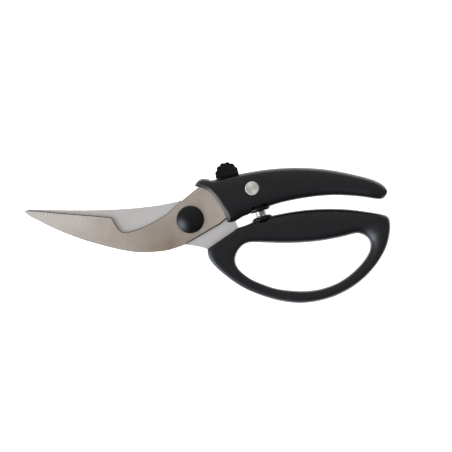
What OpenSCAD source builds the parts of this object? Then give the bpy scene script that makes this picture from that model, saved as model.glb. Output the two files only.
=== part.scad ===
// Poultry shears: two blades with riveted and moulded handles on one capped
// pivot, a coil spring between the handles and a sliding latch.
// Millimetres, +Z up. The Z axis is the pivot axis, the shears lie closed on
// Z = 0 with the blades to -X and the handles to +X.

/* [Blades] */
// Thickness of each blade
blade_t = 2.95; // [2.6:0.05:2.95]
// Gap between the two blades at the shear plane
blade_gap = 0.04; // [0.02:0.01:0.1]
// How much thinner each blade is at its tip
tip_taper = 1.1; // [0:0.1:1.3]
// Width of the facet ground along the front blade's edge
facet_w = 0.75; // [0.5:0.05:1]
// Distance from one serration groove to the next
groove_pitch = 2.45; // [2:0.05:3.5]
// Number of serration grooves
groove_count = 20; // [5:1:20]

/* [Handles] */
// Thickness of the handles, the height of the whole object
handle_t = 16; // [15.6:0.1:17]
// Squareness of the handles' oval section, 2 is an ellipse
squareness = 2.7; // [2.2:0.1:3.2]
// Thickness of the loop's slim outer bar
slim_bar_t = 13; // [11:0.5:15]

/* [Pivot] */
// Radius of the two pivot caps
cap_r = 9.4; // [9:0.1:10]
// Radius of the pivot bolt
bolt_r = 3; // [2.5:0.1:3.2]
// Wall of the pivot bush
bush_wall = 1.5; // [1:0.1:1.8]
// Radial clearance of the rear blade on the bush
running_gap = 0.05; // [0.02:0.01:0.08]
// How far the handles open, in degrees
opening_deg = 42; // [30:1:42]

/* [Latch] */
// Tilt of the latch's slide direction from the X axis, in degrees
latch_tilt = 12.5; // [11:0.5:14]
// Travel of the latch
latch_travel = 4; // [3:0.1:4]
// Radius of the thumb button over its lobes
button_r = 8; // [7.5:0.1:8.5]
// Thickness of the thumb button
button_t = 8; // [6:0.5:9]

/* [Spring] */
// Mean radius of the opening spring
spring_r = 3.4; // [3:0.1:3.7]
// Wire diameter of the opening spring
wire_d = 0.85; // [0.7:0.05:1]
// Number of turns
turns = 16; // [12:1:17]
// Tilt of the spring's axis from the Y axis, in degrees
spring_tilt = 16.5; // [15:0.5:18]

/* [Rivet] */
// Radius of the rivet's two heads
rivet_head_r = 4.75; // [4:0.05:5]
// Radius of the rivet's tube
rivet_r = 2.5; // [2:0.1:2.6]

/* [Hidden] */
$fn = 64;

eps = 0.02;                                // clearance between pieces pressed together
far = 300;                                 // longer than the whole object
mid_z = handle_t / 2;                      // height of the shear plane
front_z0 = mid_z + blade_gap / 2;          // back face of the front blade
front_z1 = front_z0 + blade_t;             // front face of the front blade
rear_z1 = mid_z - blade_gap / 2;           // front face of the rear blade
rear_z0 = rear_z1 - blade_t;               // back face of the rear blade
hub_r = 15;                                // rear blade's hub
hub_end_deg = 124;                         // where the hub's round ends at the spine
taper_x = -20;                             // where both blades start to get thinner
tip_x = -113.4;                            // tip of the front blade

// ---- curves ---------------------------------------------------------------

// One point of the smooth curve through b and c
function between(a, b, c, d, t) =
    0.5 * (2 * b + (c - a) * t + (2 * a - 5 * b + 4 * c - d) * t * t
        + (3 * b - a - 3 * c + d) * t * t * t);

// A smooth open curve through the points p, in n steps per span
function smooth(p, n) = [
    for (i = [0:len(p) - 2], k = [0:n - 1])
        between(p[max(i - 1, 0)], p[i], p[i + 1], p[min(i + 2, len(p) - 1)], k / n),
    p[len(p) - 1]];

// A smooth closed curve through the points p, in n steps per span
function smooth_ring(p, n) = let (m = len(p)) [
    for (i = [0:m - 1], k = [0:n - 1])
        between(p[(i + m - 1) % m], p[i], p[(i + 1) % m], p[(i + 2) % m], k / n)];

// Points on an arc about the origin from angle a to angle b
function arc(r, a, b, n) = [for (k = [0:n]) r * [cos(a + (b - a) * k / n), sin(a + (b - a) * k / n)]];

// A sector of radius r from angle a to angle b
function sector(r, a, b) = concat([[0, 0]], arc(r, a, b, 8));

// ---- lofts ----------------------------------------------------------------

sides = 16;                                // sides of a handle's section
function signed_power(x, e) = sign(x) * pow(abs(x), e);
half_side = 180 / sides;
side_scale = pow(cos(half_side), -2 / squareness);

// The k-th corner of a handle's rounded section, within -1 to 1 each way
function section(k) = let (a = (2 * k + 1) * half_side)
    side_scale * [signed_power(cos(a), 2 / squareness), signed_power(sin(a), 2 / squareness)];

// A ring of corners between an outer point o and an inner point i, of thickness t
function ring(o, i, t) = [
    for (k = [0:sides - 1]) let (s = section(k), p = (o + i) / 2 + s[0] * (o - i) / 2)
        [p[0], p[1], mid_z + s[1] * t / 2]];

function quad(a, b, k, m) = let (n = (k + 1) % m)
    [[a + k, a + n, b + n], [a + k, b + n, b + k]];

// Skin over rings that follow one another, capped at both ends or closed in a loop
module skin(rings, closed) {
    n = len(rings);
    m = len(rings[0]);
    spans = closed ? n - 1 : n - 2;
    walls = [for (i = [0:spans], k = [0:m - 1], f = quad(i * m, ((i + 1) % n) * m, k, m)) f];
    caps = closed ? [] : [[for (k = [m - 1:-1:0]) k], [for (k = [0:m - 1]) (n - 1) * m + k]];
    polyhedron(points = [for (r = rings, p = r) p], faces = concat(walls, caps), convexity = 6);
}

// ---- outlines -------------------------------------------------------------

// Front blade's back edge, from the tip to the pivot
front_back_edge = [[-113.4, 5.4], [-110.5, 2.7], [-104, -0.6], [-93, -6.1], [-81.6, -10.8],
    [-70, -14.8], [-58.1, -18.1], [-46.2, -20.9], [-34, -22.5], [-18.6, -21.6], [-9.8, -19.4],
    [-3.6, -17.2]];
// Front blade's tang, inside the horn handle
front_tang = [[20.5, -3.1], [24.4, 0.2], [27.2, 2.8], [33, 6], [36, 13.6], [52, 17.6], [70, 18.8],
    [83, 20.4], [85.5, 22.4], [85.5, 26], [83, 28], [70, 29.2], [50, 28.6], [36, 27], [24, 24.8],
    [10, 23.6]];
// Front blade's heel and bone notch, from the collar to the cutting edge
bone_notch = [[5.6, 22], [-0.2, 17.5], [-5.3, 13.2], [-9.6, 9.8], [-13.4, 6], [-18, 2.2], [-23.4, -0.9],
    [-31, -4.9], [-38, -7.5], [-43.6, -8.9], [-47.4, -8.1], [-50, -5.2], [-52.1, -1.7], [-53.8, 0.8],
    [-56.4, 1.7]];
// Front blade's serrated cutting edge, from the notch to the tip
cutting_edge = [[-61.6, 2.15], [-75.3, 3.3], [-88.9, 4.5], [-99.9, 5.45], [-109.5, 6.3], [-112.6, 6.2]];
edge_start = [-111, 6.45];
edge_angle = -4.7;                         // slope of the cutting edge
facet_slope = 65;
groove_start = 4;                          // distance of the first groove from edge_start
groove_len = 2.6;
groove_t = 0.6;                            // half height of a groove's cutter
groove_spread = 2;                         // how much wider than deep the grooves are
groove_start_t = 0.1;                      // depth of a groove at its inner end
groove_lean = 4.5;                         // the grooves get deeper towards the edge

// Rear blade's spine, from the hub to the tip
rear_spine = [[-8.4, 12.43], [-20.7, 10], [-33, 8.4], [-45, 7.35], [-60.7, 6.6], [-85, 6.5],
    [-109.5, 7]];
// Rear blade's edge, from the tip back to the hub
rear_edge = [[-112, 6.4], [-105, 2.6], [-95, -2.3], [-80, -7], [-60, -11], [-44, -13.2], [-28, -14.4],
    [-16, -15.6], [-3.6, -17.1]];
// Rear blade's tang, below and inside the loop handle
rear_tang = [[6.7, -18.7], [12, -20.4], [17.5, -26.2], [24, -25.6], [28.4, -22], [31.4, -18],
    [35, -14.6], [42, -13.9], [74, -13.9], [75.5, -12.4], [74, -10.9], [43, -10.9], [38, -8.4],
    [34.6, -6.4], [32.6, -5.4], [31.1, -1.7]];
catch_top_deg = 16;                        // top of the catch, as an angle about the pivot
catch_r = 30.6;                            // outer radius of the catch
catch_bevel = 1.2;
catch_gap = 2.4;                           // room around the catch in the handle

// Pairs of points across the horn handle, [upper edge, lower edge], from the collar to the tip
horn_pairs = [[[2.8, 23.2], [23, -2]], [[4.1, 25.5], [24.3, -1.9]], [[6.2, 27.3], [26, -2.1]],
    [[8.8, 28], [28.2, -1.9]], [[13.1, 27.6], [30.5, -1.2]], [[16.8, 27.35], [32.6, -0.1]],
    [[25, 29.2], [36.7, 2.3]], [[36.4, 31.7], [42, 4.2]], [[48.5, 33.8], [50, 7.6]],
    [[60.8, 35.1], [61, 11.2]], [[73, 35.5], [73, 13.8]], [[85.7, 35], [85.5, 15.7]],
    [[97.9, 33.6], [97.8, 16.5]], [[110.1, 31.2], [108.5, 16.2]], [[122.1, 28.2], [119, 15.2]],
    [[128.8, 25.5], [127, 14]], [[132.7, 22.7], [131.6, 14.3]], [[134.6, 20], [134.1, 17]]];
// The collar's front edge at the front blade's face, and its crest at the height of the handle's crown
collar_edge = [[-4, 24.2], [2, 23], [7, 21.7], [12, 19.4], [16.8, 14.2], [20.9, 7.8], [24.1, 1.5],
    [26.6, -5]];
collar_crest = [[-4, 28.5], [3, 26.6], [8.4, 24.8], [13.6, 21.6], [18.8, 15.6], [23.2, 9], [28.6, 3.2],
    [33, -3]];
horn_tip_x = 122;                          // where the horn handle starts to round off in thickness
horn_tip_len = 13.5;
horn_tip_share = 0.8;                      // how far it does so, 1 would end in a point

// Sections around the loop handle, [outer edge, inner edge, share of slimness]
loop_sections = [[[12.2, -25], [31, -29.5], 0], [[15.5, -30.5], [32.2, -32.4], 0.1],
    [[21.4, -36.2], [34.6, -35.4], 0.3], [[28.7, -41.9], [38.3, -38.4], 0.5],
    [[36.5, -46.8], [43, -41.3], 0.8], [[44.8, -50.6], [49.5, -44], 1],
    [[53.5, -53.6], [57.3, -46.6], 1], [[62.4, -55.9], [65.5, -48], 1],
    [[74.8, -57.2], [75.6, -48.7], 1], [[87.2, -55.9], [85.2, -48], 1],
    [[99.1, -52.4], [94.8, -45.5], 1], [[110.2, -46.7], [103.5, -41.4], 1],
    [[119.9, -39], [111.3, -35.6], 0.9], [[128, -29.5], [117.6, -29], 0.7],
    [[134, -18.6], [121.8, -22.5], 0.4], [[136.5, -8], [122.9, -17.5], 0.2],
    [[136.4, -0.8], [122.2, -14.2], 0.1], [[134.6, 2.3], [120.4, -12], 0],
    [[130.6, 3.7], [117.3, -10.2], 0], [[122.3, 5.2], [112.6, -9.7], 0], [[110, 6.8], [104, -11.9], 0],
    [[97.7, 7.4], [91.6, -14.3], 0], [[85.3, 7.1], [79.2, -15.7], 0], [[73, 5.9], [66.6, -16.2], 0],
    [[61, 3.8], [54, -16], 0], [[48, 0.6], [45.5, -15.6], 0], [[38.5, -3.6], [39.6, -15.9], 0],
    [[30.5, -6.4], [35.4, -18], 0], [[20.5, -11.5], [32.2, -22], 0], [[12.4, -18.5], [30.8, -26], 0]];
mouth_corner = [11.8, -20.1];              // outer end of the loop handle's tang mouth
mouth_angle = 34.7;

// ---- pivot stack ----------------------------------------------------------

bush_r = bolt_r + bush_wall;
washer_t = 0.8;
washer_r = 8;
bush_z0 = rear_z0 - 0.1;
washer_z0 = bush_z0 - washer_t;
disc_t = 0.5;
disc_rise = 0.2;
disc_r = 5.6;
nut_z1 = washer_z0 - disc_t - disc_rise;
nut_t = 2.4;
nut_flats = 10;
bolt_head_r = 6;
bolt_head_t = 2.2;
bolt_hex_r = 2.3;                          // of the socket in the bolt's head
cap_wall = 1.2;
cap_round = 1.2;                           // rounding of the rear cap's outer edge
cap_dome = handle_t - front_z1 - cap_wall;
dome_r = (cap_r * cap_r + cap_dome * cap_dome) / (2 * cap_dome);

stop_r = 2;                                // radius of the stop pin
stop_at = 13.7;                            // distance of the stop pin from the pivot
stop_deg = 65;
stop_slack = 0.4;                          // free turn at both ends of the stop's slot, in degrees
stop_half = asin(stop_r / stop_at) + stop_slack;
stop_pos = stop_at * [cos(stop_deg), sin(stop_deg)];
stop_depth = 2;                            // how deep the stop pin sits in the front blade

// ---- latch, in a frame turned by latch_tilt about the pivot ----------------

button_u = 31.2;
button_v = 25.1;
button_foot = 7.9;                         // half width of the plain part below its lobes
button_lift = 1.1;                         // height of that part above the track's floor
scallop_deg = 30;                          // angle from one of the button's lobes to the next
scallop_depth = 1.1;
track_v = 23;                              // floor of the button's track in the handle
foot_gap = 0.03;                           // clearance between that floor and the button
foot_inset = 0.1;                          // the foot's ends are this much shorter than the button
foot_back = 3.2;                           // from mid height to the foot's back and front faces
foot_front = 2.2;
plate_z0 = rear_z0 + 0.15;
plate_z1 = rear_z1 - 0.08;
plate_t = plate_z1 - plate_z0;
slide_gap = 0.15;                          // clearance around the latch plate
finger_u = 31.8;                           // tip of the latch's finger when unlocked
finger_v = -3.4;
finger_h = 2.2;
arm_u0 = 35;
arm_u1 = 38.4;
guide_u1 = 54.2;
guide_v0 = 7.9;
guide_v1 = 15.5;
tab_u0 = 28.5;
tab_u1 = 34.5;
tab_v1 = 28;
latch_pin_r = 1;
leaf_t = 0.4;
leaf_r = 15.8;
leaf_half = 6;
leaf_u = 44;

rivet_pos = [42.1, 21.3];
rivet_uv = [rivet_pos[0] * cos(latch_tilt) + rivet_pos[1] * sin(latch_tilt),
    rivet_pos[1] * cos(latch_tilt) - rivet_pos[0] * sin(latch_tilt)];
rivet_head_t = 1.2;
rivet_inset = 0.1;                         // heads sit this far below the handle's crown
rivet_hole_r = rivet_r + 0.1;
rivet_core_r = 1.9;
rivet_floor = 4;                           // where the rivet's tube starts to be hollow

// ---- spring and its cups, along an axis tilted by spring_tilt --------------

spring_pos = [48.25, 3.25];
seat_w = 9.4;                              // where the spring's ends sit
cup_w = 11;                                // where the cups end, deep in the handles
cup_stem_r = 5.6;                          // cups' radius deep in the handles
cup_gap = 0.2;                             // clearance around the cups' flanges
cup_slope = 1.4;                           // length of the slope behind each flange
// Each cup's mouth as [radius, distance from the spring's middle], and the room for its flange
upper_mouth = [[6.2, 2.2], [6.8, 2.6], [7.4, 3.6], [7.4, 4.4]];
lower_mouth = [[4.9, 1.3], [6.6, 2], [7.1, 2.9], [7.2, 3.7]];
upper_flange = [7.4, 6.2];
lower_flange = [7.2, 5.6];
cup_bore_r = spring_r + wire_d / 2 + 0.6;

module in_latch_frame() {
    rotate([0, 0, latch_tilt]) children();
}

module in_spring_frame() {
    translate([spring_pos[0], spring_pos[1], mid_z]) rotate([0, 0, spring_tilt])
        rotate([90, 0, 0]) children();
}

module box(u0, v0, z0, u1, v1, z1) {
    translate([u0, v0, z0]) cube([u1 - u0, v1 - v0, z1 - z0]);
}

// ---- blades ---------------------------------------------------------------

// Everything beyond a face that leans towards mid thickness at the blade's tip
module taper_cut(face_z, way) {
    lean = -way * atan(tip_taper / (taper_x - tip_x));
    translate([taper_x, 0, face_z]) rotate([0, lean, 0])
        translate([-far, -far / 2, way > 0 ? 0 : -20]) cube([far, far, 20]);
}

// Places its children along the cutting edge, on the front blade's tapered face
module on_edge() {
    lean = -atan(tip_taper / (taper_x - tip_x));
    translate([taper_x, 0, front_z1]) rotate([0, lean, 0])
        translate([edge_start[0] - taper_x, edge_start[1], 0]) rotate([0, 0, edge_angle]) children();
}

// The steep facet ground along the cutting edge
module edge_facet() {
    on_edge() translate([0, -facet_w, 0]) rotate([-facet_slope, 0, 0])
        translate([-20, 0, 0]) cube([76, 10, 10]);
}

// One vee groove ground across the edge, x from its tip end
module groove(x) {
    w = groove_spread * groove_t;
    on_edge() translate([x, -groove_len, groove_t - groove_start_t]) rotate([-90 - groove_lean, 0, 0])
        linear_extrude(groove_len + 1) polygon([[w, 0], [0, groove_t], [-w, 0], [0, -groove_t]]);
}

module front_blade() {
    color([0.70, 0.66, 0.61])
    difference() {
        translate([0, 0, front_z0]) linear_extrude(blade_t)
            polygon(concat(smooth(front_back_edge, 3), front_tang, smooth(bone_notch, 2), cutting_edge));
        taper_cut(front_z1, 1);
        edge_facet();
        for (k = [0:groove_count - 1]) groove(groove_start + k * groove_pitch);
        translate([0, 0, front_z0 - 1]) cylinder(h = blade_t + 2, r = bush_r);
        translate([rivet_pos[0], rivet_pos[1], front_z0 - 1]) cylinder(h = blade_t + 2, r = rivet_hole_r);
        translate([stop_pos[0], stop_pos[1], front_z0 - 1]) cylinder(h = 1 + stop_depth, r = stop_r);
    }
}

// The recess in the rear blade's hub that runs along the stop pin
module stop_recess() {
    translate([0, 0, rear_z0 - 1]) linear_extrude(blade_t + 2)
    difference() {
        polygon(sector(hub_r * 1.3, stop_deg - stop_half, stop_deg + stop_half + opening_deg));
        circle(r = stop_at - stop_r - 0.3);
    }
}

// The slot in the catch that the latch's finger enters
module catch_slot() {
    spare = 0.2;
    in_latch_frame()
        box(finger_u - latch_travel - spare, finger_v - spare, rear_z0 - 1,
            finger_u + 4, finger_v + finger_h + spare, rear_z1 + 1);
}

module rear_blade() {
    catch_outline = [catch_r * [cos(catch_top_deg - 2), sin(catch_top_deg - 2)],
        (catch_r - catch_bevel) * [cos(catch_top_deg), sin(catch_top_deg)]];
    color([0.78, 0.77, 0.75])
    difference() {
        translate([0, 0, rear_z0]) linear_extrude(blade_t)
            polygon(concat(smooth(rear_edge, 3), rear_tang, catch_outline,
                arc(hub_r, catch_top_deg, hub_end_deg, 24), smooth(rear_spine, 2)));
        taper_cut(rear_z0, -1);
        stop_recess();
        catch_slot();
        translate([0, 0, rear_z0 - 1]) cylinder(h = blade_t + 2, r = bush_r + running_gap);
    }
}

// ---- handles --------------------------------------------------------------

// Everything in front of the collar: upright to the front blade's face, then leaning back in two slopes
module collar_cut() {
    edge = smooth(collar_edge, 2);
    crest = smooth(collar_crest, 2);
    corners = [[26.6, -30], [-30, -30], [-30, 24.2]];
    skin([for (at = [[-1, 0], [front_z1, 0], [handle_t - 0.8, 0.72], [handle_t + 1, 1.35]])
        [for (p = concat([for (k = [0:len(edge) - 1]) edge[k] + at[1] * (crest[k] - edge[k])], corners))
            [p[0], p[1], at[0]]]], false);
}

// The pocket for a spring cup: wide at its mouth, narrower deep in the handle
module cup_room(flange) {
    translate([0, 0, -4]) cylinder(h = 4 + flange[1] + cup_gap, r = flange[0] + cup_gap);
    cylinder(h = cup_w, r = cup_stem_r);
}

// Thickness of the horn handle, which rounds off towards its tip
function horn_t(x) = handle_t * sqrt(1 - horn_tip_share * pow(max(0, x - horn_tip_x) / horn_tip_len, 2));

// Room behind the collar for the rear blade's catch
module catch_room() {
    translate([0, 0, -1]) linear_extrude(front_z0 + 1)
        polygon(sector(catch_r + catch_gap, -80, catch_top_deg + 1));
}

// The hollow that the latch plate, its finger and its leaf spring work in
module latch_room() {
    g = slide_gap;
    in_latch_frame() {
        box(arm_u0 - latch_travel - g, finger_v - g, plate_z0 - g, arm_u1 + g, guide_v1 + g, front_z0);
        box(arm_u0 - latch_travel - g, guide_v0 - g, plate_z0 - g, guide_u1 + g, guide_v1 + g, front_z0);
        box(tab_u0 - latch_travel - g, guide_v0 - g, plate_z0 - g, tab_u1 + g, 40, front_z0);
        box(leaf_u - leaf_half - g, guide_v1, plate_z0 - g,
            leaf_u + leaf_half + g, guide_v1 + 1.8, front_z0);
        box(button_u - button_r - latch_travel, track_v, -1, button_u + button_r, 40, handle_t + 1);
    }
}

module horn_handle() {
    upper = smooth([for (p = horn_pairs) p[0]], 2);
    lower = smooth([for (p = horn_pairs) p[1]], 2);
    color([0.15, 0.15, 0.155])
    difference() {
        skin([for (k = [len(upper) - 1:-1:0]) ring(upper[k], lower[k], horn_t(upper[k][0]))], false);
        collar_cut();
        catch_room();
        latch_room();
        translate([0, 0, front_z0]) linear_extrude(blade_t) polygon(concat(front_tang, [bone_notch[0]]));
        in_spring_frame() rotate([180, 0, 0]) cup_room(upper_flange);
        translate([rivet_pos[0], rivet_pos[1], -1]) {
            cylinder(h = handle_t + 2, r = rivet_hole_r);
            cylinder(h = 1 + rivet_inset + rivet_head_t, r = rivet_head_r);
            translate([0, 0, handle_t - rivet_inset - rivet_head_t + 1]) cylinder(h = 4, r = rivet_head_r);
        }
    }
}

module loop_handle() {
    outer = smooth_ring([for (s = loop_sections) s[0]], 2);
    inner = smooth_ring([for (s = loop_sections) s[1]], 2);
    slim = smooth_ring([for (s = loop_sections) s[2]], 2);
    color([0.15, 0.15, 0.155])
    difference() {
        skin([for (k = [0:len(outer) - 1])
            ring(outer[k], inner[k], handle_t + (slim_bar_t - handle_t) * max(0, slim[k]))], true);
        translate([mouth_corner[0], mouth_corner[1], -1]) rotate([0, 0, mouth_angle])
            translate([-20, 0, 0]) cube([60, 20, handle_t + 2]);
        translate([0, 0, rear_z0]) linear_extrude(blade_t) polygon(concat(rear_tang, [[12, -10]]));
        in_spring_frame() cup_room(lower_flange);
    }
}

// ---- fasteners and pivot --------------------------------------------------

// Head and solid stem of the handle's two-part rivet
module rivet_front() {
    top = handle_t - rivet_inset;
    color([0.75, 0.74, 0.72])
    translate([rivet_pos[0], rivet_pos[1], 0]) {
        translate([0, 0, top - rivet_head_t]) cylinder(h = rivet_head_t, r = rivet_head_r - eps);
        translate([0, 0, rivet_floor + 1])
            cylinder(h = top - rivet_head_t - rivet_floor - 0.9, r = rivet_core_r);
    }
}

// Head and tube of the rivet, from the back
module rivet_back() {
    top = handle_t - rivet_inset - rivet_head_t;
    color([0.75, 0.74, 0.72])
    translate([rivet_pos[0], rivet_pos[1], 0])
    difference() {
        union() {
            translate([0, 0, rivet_inset]) cylinder(h = rivet_head_t, r = rivet_head_r - eps);
            translate([0, 0, rivet_inset + 0.1]) cylinder(h = top - rivet_inset - 0.2, r = rivet_r);
        }
        translate([0, 0, rivet_floor]) cylinder(h = handle_t, r = rivet_core_r + eps);
    }
}

module pivot_bolt() {
    color([0.6, 0.6, 0.6])
    difference() {
        union() {
            translate([0, 0, nut_z1 - nut_t])
                cylinder(h = front_z1 - nut_z1 + nut_t + 0.1, r = bolt_r - eps);
            translate([0, 0, front_z1]) cylinder(h = bolt_head_t, r = bolt_head_r);
        }
        translate([0, 0, front_z1 + 0.4]) cylinder(h = 4, r = bolt_hex_r, $fn = 6);
    }
}

module pivot_bush() {
    color([0.72, 0.6, 0.32])
    difference() {
        translate([0, 0, bush_z0]) cylinder(h = front_z1 - bush_z0, r = bush_r - eps / 2);
        translate([0, 0, bush_z0 - 1]) cylinder(h = blade_t * 3, r = bolt_r);
    }
}

module thrust_washer() {
    color([0.6, 0.6, 0.6])
    difference() {
        translate([0, 0, washer_z0]) cylinder(h = washer_t, r = washer_r);
        translate([0, 0, washer_z0 - 1]) cylinder(h = washer_t + 2, r = bolt_r);
    }
}

// A dished spring washer that takes up the play in the pivot
module disc_spring() {
    inner = bolt_r + 0.15;
    color([0.5, 0.5, 0.5])
    translate([0, 0, nut_z1])
    rotate_extrude()
        polygon([[inner, 0], [disc_r, disc_rise], [disc_r, disc_rise + disc_t], [inner, disc_t]]);
}

module pivot_nut() {
    color([0.6, 0.6, 0.6])
    translate([0, 0, nut_z1 - nut_t])
    difference() {
        cylinder(h = nut_t, r = nut_flats / 2 / cos(30), $fn = 6);
        translate([0, 0, -1]) cylinder(h = nut_t + 2, r = bolt_r);
    }
}

// The domed cap snapped over the bolt's head
module front_cap() {
    color([0.08, 0.08, 0.09])
    difference() {
        union() {
            translate([0, 0, front_z1]) cylinder(h = cap_wall, r = cap_r, $fn = 96);
            intersection() {
                translate([0, 0, handle_t - dome_r]) sphere(r = dome_r, $fn = 128);
                translate([0, 0, front_z1 + cap_wall - 0.01]) cylinder(h = 10, r = cap_r, $fn = 96);
            }
        }
        translate([0, 0, front_z1 - 1]) cylinder(h = 1 + bolt_head_t + 0.1, r = bolt_head_r + eps);
    }
}

// The flat cap over the nut, which the shears rest on
module rear_cap() {
    color([0.08, 0.08, 0.09])
    difference() {
        rotate_extrude($fn = 96) polygon(concat([[0, 0]],
            [for (k = [0:6]) [cap_r - cap_round * (1 - sin(k * 15)), cap_round * (1 - cos(k * 15))]],
            [[cap_r, bush_z0], [0, bush_z0]]));
        translate([0, 0, nut_z1 - nut_t]) cylinder(h = 10, r = washer_r + eps);
    }
}

module stop_pin() {
    color([0.6, 0.6, 0.6])
    translate([stop_pos[0], stop_pos[1], rear_z0 + 0.3])
        cylinder(h = front_z0 + stop_depth - rear_z0 - 0.3, r = stop_r - eps / 2);
}

// ---- spring ---------------------------------------------------------------

// A cup with a flared flange and a stem that sits in the handle
module spring_cup(mouth) {
    stem = cup_stem_r - eps;
    back = mouth[len(mouth) - 1][1] + cup_slope;
    color([0.06, 0.06, 0.07])
    rotate_extrude($fn = 96) polygon(concat([[cup_bore_r, seat_w], [cup_bore_r, mouth[0][1]]], mouth,
        [[stem, back], [stem, cup_w], [0, cup_w], [0, seat_w]]));
}

module upper_cup() {
    in_spring_frame() rotate([180, 0, 0]) spring_cup(upper_mouth);
}

module lower_cup() {
    in_spring_frame() spring_cup(lower_mouth);
}

coil_steps = 10;
wire_sides = 6;
coil_len = 2 * seat_w - wire_d - 0.1;

// Centre of the spring's wire after a turns
function coil_point(a) = [spring_r * cos(360 * a), spring_r * sin(360 * a), coil_len * (a / turns - 0.5)];

// Ring of the wire's corners around that centre
function coil_ring(a) = let (c = coil_point(a), out = [cos(360 * a), sin(360 * a), 0])
    [for (k = [0:wire_sides - 1]) c + wire_d / 2 * (cos(60 * k) * out + [0, 0, sin(60 * k)])];

module opening_spring() {
    count = turns * coil_steps;
    points = [for (s = [0:count], p = coil_ring(s / coil_steps)) p];
    walls = [for (s = [0:count - 1], k = [0:wire_sides - 1]) let (a = s * wire_sides, b = a + wire_sides,
        n = (k + 1) % wire_sides) each [[a + k, a + n, b + n], [a + k, b + n, b + k]]];
    ends = [[for (k = [wire_sides - 1:-1:0]) k], [for (k = [0:wire_sides - 1]) count * wire_sides + k]];
    color([0.75, 0.75, 0.75])
    in_spring_frame() polyhedron(points = points, faces = concat(walls, ends), convexity = 10);
}

// ---- latch ----------------------------------------------------------------

// Radius of the scalloped button at angle a
function button_edge(a) = button_r - scallop_depth * (1 - sqrt(abs(sin(180 * a / scallop_deg))));

// The scalloped half disc that the thumb pushes, on a plain foot set back from its front
module latch_button() {
    steps = 84;
    start = 4;
    low = track_v + button_lift - button_v;
    lobes = [for (k = [0:steps]) let (a = start + (180 - 2 * start) * k / steps)
        button_edge(a - 90) * [cos(a), sin(a)]];
    color([0.16, 0.16, 0.17])
    in_latch_frame()
    difference() {
        union() {
            translate([button_u, button_v, mid_z - button_t / 2]) linear_extrude(button_t)
                polygon(concat([[-button_foot, low], [button_foot, low], [button_foot, 0]], lobes,
                    [[-button_foot, 0]]));
            box(button_u - button_foot + foot_inset, track_v + foot_gap, mid_z - foot_back,
                button_u + button_foot - foot_inset, button_v, mid_z + foot_front);
        }
        box(tab_u0 - eps, 0, plate_z0 - eps, tab_u1 + eps, tab_v1 + eps, plate_z1 + eps);
        translate([button_u, button_v + 1, 0]) cylinder(h = handle_t, r = latch_pin_r);
    }
}

// The steel plate behind the front blade's tang: tab, arm with finger, and guide
module latch_plate() {
    color([0.6, 0.6, 0.6])
    in_latch_frame() translate([0, 0, plate_z0]) linear_extrude(plate_t)
    difference() {
        union() {
            translate([finger_u, finger_v]) square([arm_u1 - finger_u, finger_h]);
            translate([arm_u0, finger_v]) square([arm_u1 - arm_u0, guide_v1 - finger_v]);
            translate([tab_u0, guide_v0]) square([guide_u1 - tab_u0, guide_v1 - guide_v0]);
            translate([tab_u0, guide_v0]) square([tab_u1 - tab_u0, tab_v1 - guide_v0]);
        }
        translate(rivet_uv) circle(r = rivet_hole_r);
        translate(rivet_uv + [latch_travel, 0]) circle(r = rivet_hole_r);
        translate(rivet_uv - [0, rivet_hole_r]) square([latch_travel, 2 * rivet_hole_r]);
        translate([button_u, button_v + 1]) circle(r = latch_pin_r);
    }
}

// The cross pin that holds the button on the plate
module latch_pin() {
    color([0.6, 0.6, 0.6])
    in_latch_frame() translate([button_u, button_v + 1, mid_z - button_t / 2 + 0.5])
        cylinder(h = button_t - 1, r = latch_pin_r - eps);
}

// The bowed leaf that presses on the plate's top edge, so that the latch stays put
module latch_spring() {
    color([0.6, 0.6, 0.6])
    in_latch_frame() translate([leaf_u, guide_v1 + eps + leaf_r, plate_z0 + 0.2])
    intersection() {
        difference() {
            cylinder(h = plate_t - 0.4, r = leaf_r, $fn = 96);
            translate([0, 0, -1]) cylinder(h = plate_t + 2, r = leaf_r - leaf_t, $fn = 96);
        }
        translate([-leaf_half, -leaf_r - 1, -1]) cube([2 * leaf_half, 4, plate_t + 2]);
    }
}

front_blade();
rear_blade();
horn_handle();
loop_handle();
rivet_front();
rivet_back();
pivot_bolt();
pivot_bush();
thrust_washer();
disc_spring();
pivot_nut();
front_cap();
rear_cap();
stop_pin();
upper_cup();
lower_cup();
opening_spring();
latch_button();
latch_plate();
latch_pin();
latch_spring();
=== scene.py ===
import math

import bmesh
import bpy
import numpy as np
from mathutils import Matrix, Vector


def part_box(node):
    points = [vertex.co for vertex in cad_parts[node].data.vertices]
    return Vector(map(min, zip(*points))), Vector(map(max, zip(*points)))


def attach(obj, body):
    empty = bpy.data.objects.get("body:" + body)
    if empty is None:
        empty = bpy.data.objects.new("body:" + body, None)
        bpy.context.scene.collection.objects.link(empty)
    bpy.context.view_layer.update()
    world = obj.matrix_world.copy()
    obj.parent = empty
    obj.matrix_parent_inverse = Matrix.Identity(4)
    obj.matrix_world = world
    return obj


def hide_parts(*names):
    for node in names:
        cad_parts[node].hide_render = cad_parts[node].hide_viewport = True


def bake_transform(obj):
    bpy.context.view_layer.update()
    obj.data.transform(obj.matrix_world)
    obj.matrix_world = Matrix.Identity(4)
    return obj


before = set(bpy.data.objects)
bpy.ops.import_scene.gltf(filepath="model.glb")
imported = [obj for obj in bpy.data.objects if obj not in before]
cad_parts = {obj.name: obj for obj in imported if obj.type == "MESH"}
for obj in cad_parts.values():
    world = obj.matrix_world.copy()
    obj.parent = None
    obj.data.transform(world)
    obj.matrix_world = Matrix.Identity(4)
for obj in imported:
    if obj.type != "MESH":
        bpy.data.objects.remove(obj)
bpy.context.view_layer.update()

# Lengths below are millimetres, and meshes are made in metres.
MM = 0.001


# ---- sizes that the frame gives -------------------------------------------

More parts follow.
